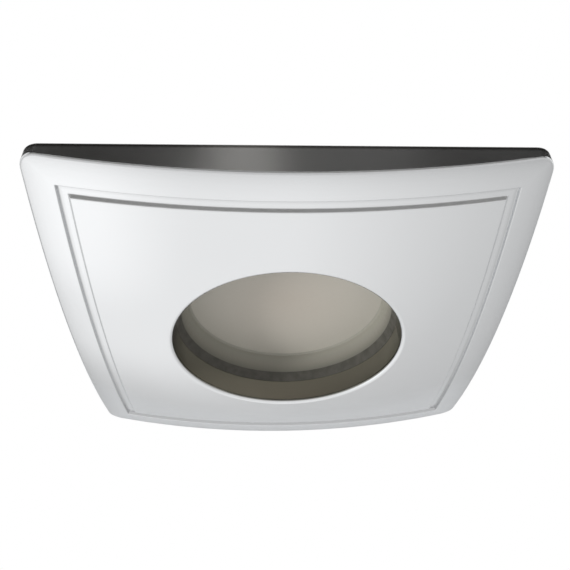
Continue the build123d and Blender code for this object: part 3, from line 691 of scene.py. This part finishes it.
def clip_boot(side):
    """A dipped vinyl sleeve over the arm's tip: open at its root, rounded at its nose, with grip ribs."""
    clip = ClipFrame(side)
    pocket = (POCKET_HALF_WIDTH, POCKET_HALF_HEIGHT)
    mouth = [half + MOUTH_FLARE for half in pocket]
    root = (BOOT_HALF_WIDTH - ROOT_ROUND, BOOT_HALF_HEIGHT - ROOT_ROUND)
    rings = [
        boot_section(clip, BOOT_START + POCKET_DEPTH, *pocket, POCKET_POWER),
        boot_section(clip, BOOT_START + MOUTH_DEPTH, *pocket, POCKET_POWER),
        boot_section(clip, BOOT_START + LIP_DEPTH, *mouth, MOUTH_POWER),
        boot_section(clip, BOOT_START, *root),
    ]
    half_width, half_height = BOOT_HALF_WIDTH - RIB_WIDTH, BOOT_HALF_HEIGHT - RIB_HEIGHT
    straight = BOOT_END - NOSE_ROUND - BOOT_START
    for i in range(1, BOOT_STEPS + 1):
        run = straight * i / BOOT_STEPS
        rib = max(0.0, math.sin(FULL_TURN * run / RIB_PITCH)) ** 2
        lip = math.exp(-((run / LIP_LENGTH) ** 2))
        swell = max(rib, lip)
        wide, tall = half_width + RIB_WIDTH * swell, half_height + RIB_HEIGHT * swell
        rings.append(boot_section(clip, BOOT_START + run, wide, tall))
    for i in range(1, NOSE_STEPS + 1):
        angle = FULL_TURN / 4 * i / NOSE_STEPS
        shrink = 1 - math.cos(angle)
        x = BOOT_END - NOSE_ROUND * (1 - math.sin(angle))
        wide = half_width - NOSE_ROUND * shrink
        tall = half_height * (1 - NOSE_FLATTENING * shrink)
        rings.append(boot_section(clip, x, wide, tall, BOOT_POWER + NOSE_POWER_RISE * shrink))
    nose = rings[-1]
    centre = sum(nose, Vector()) / len(nose)
    rings.append([centre + (p - centre) * TIP_SHARE for p in nose])
    made = shown(f"{side}_vinyl_boot", *bridged(rings), "boot_vinyl")
    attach(made, f"{side}_clip")
    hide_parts(f"{side}_clip_boot")


foam_ring()
for side in ("left", "right"):
    clip_spring(side)
    clip_boot(side)


# Camera

def camera():
    """Looks up at the fitting from the photograph's place."""
    azimuth, elevation, roll = (math.radians(v) for v in (VIEW_AZIMUTH, VIEW_ELEVATION, VIEW_ROLL))
    level = math.cos(elevation)
    ahead = Vector((math.sin(azimuth) * level, math.cos(azimuth) * level, math.sin(elevation)))
    right = Vector((math.cos(azimuth), -math.sin(azimuth), 0))
    up = right.cross(ahead)
    rolled_right = right * math.cos(roll) + up * math.sin(roll)
    rolled_up = up * math.cos(roll) - right * math.sin(roll)
    data = bpy.data.cameras.new("camera")
    data.sensor_width = SENSOR_WIDTH
    data.lens = FOCAL_PIXELS / IMAGE_SIZE * SENSOR_WIDTH
    data.shift_x = 0.5 - PRINCIPAL_POINT[0] / IMAGE_SIZE
    data.shift_y = PRINCIPAL_POINT[1] / IMAGE_SIZE - 0.5
    data.clip_start = CLIP_START
    made = bpy.data.objects.new("camera", data)
    turn = Matrix((rolled_right, rolled_up, -ahead)).transposed().to_4x4()
    made.matrix_world = Matrix.Translation(VIEW_TARGET - ahead * VIEW_DISTANCE) @ turn
    bpy.context.collection.objects.link(made)
    bpy.context.scene.camera = made


# Stage

def matte(name, colour):
    look = Look(f"{name}_look", colour, roughness=CARD_ROUGHNESS)
    look.tint(look.noise(scale=3, detail=2), other=[c * CARD_MOTTLE for c in colour])
    return look.material


def glow(name, levels, brightest, scale):
    """A light that fades away from its brightest place, by levels at distances from it."""
    strongest = max(level for _, level in levels)
    look = Look(f"{name}_look", (0, 0, 0), emission_strength=strongest)
    shares = [(distance, level / strongest) for distance, level in levels]
    look.paint(look.greys(look.radius(brightest, scale), shares), "Emission Color")
    return look.material


def turned(place, toward, axis):
    """A place, with one axis there turned towards a direction."""
    turn = Vector(toward).to_track_quat(axis, "Y")
    return Matrix.Translation(place) @ turn.to_matrix().to_4x4()


def plane(name, material, centre, size, facing):
    """A flat piece of the stage that faces one way."""
    mesh = bpy.data.meshes.new(name)
    w, h = size[0] / 2, size[1] / 2
    mesh.from_pydata([(-w, -h, 0), (w, -h, 0), (w, h, 0), (-w, h, 0)], [], [(0, 1, 2, 3)])
    mesh.materials.append(material)
    made = bpy.data.objects.new(name, mesh)
    made.matrix_world = turned(centre, facing, "Z")
    bpy.context.collection.objects.link(made)
    return made


def reflected(made):
    """Keeps a piece of the stage for reflections alone."""
    made.visible_camera = False
    made.visible_diffuse = False
    made.visible_shadow = False


def card(name, colour, **where):
    reflected(plane(name, matte(name, colour), **where))


def panel(name, levels, brightest, scale, **where):
    reflected(plane(name, glow(name, levels, brightest, scale), **where))


def hung(name, data, place, aim, power):
    """A lamp at a place, turned towards its aim."""
    data.energy = power
    made = bpy.data.objects.new(name, data)
    made.matrix_world = turned(place, Vector(aim) - Vector(place), "-Z")
    made.visible_camera = False
    made.visible_glossy = False
    bpy.context.collection.objects.link(made)


def lamp(name, size, **where):
    data = bpy.data.lights.new(name, "AREA")
    data.shape = "DISK"
    data.size = size
    hung(name, data, **where)


def spot(name, angle, softness, **where):
    data = bpy.data.lights.new(name, "SPOT")
    data.spot_size = math.radians(angle)
    data.spot_blend = 1.0
    data.shadow_soft_size = softness
    hung(name, data, **where)


def world():
    """Soft light all round, with a white background behind the object."""
    made = bpy.data.worlds.new("world")
    bpy.context.scene.world = made
    made.use_nodes = True
    tree = made.node_tree
    background = tree.nodes["Background"]
    path = tree.nodes.new("ShaderNodeLightPath")
    seen = path.outputs["Is Camera Ray"]
    for name in ("Is Glossy Ray", "Is Transmission Ray"):
        either = tree.nodes.new("ShaderNodeMath")
        either.operation = "MAXIMUM"
        tree.links.new(seen, either.inputs[0])
        tree.links.new(path.outputs[name], either.inputs[1])
        seen = either.outputs[0]
    level = tree.nodes.new("ShaderNodeMapRange")
    level.inputs["To Min"].default_value = WORLD_LIGHT
    level.inputs["To Max"].default_value = WORLD_SEEN
    tree.links.new(seen, level.inputs["Value"])
    background.inputs["Color"].default_value = (1, 1, 1, 1)
    tree.links.new(level.outputs["Result"], background.inputs["Strength"])


camera()
world()
plane("floor", matte("floor", FLOOR_COLOUR), **FLOOR)
for name, settings in CARDS.items():
    card(name, **settings)
for name, settings in PANELS.items():
    panel(name, **settings)
lamp("overhead", **OVERHEAD)
spot("side", **SIDE_SPOT)
bpy.context.scene.view_settings.view_transform = "Standard"
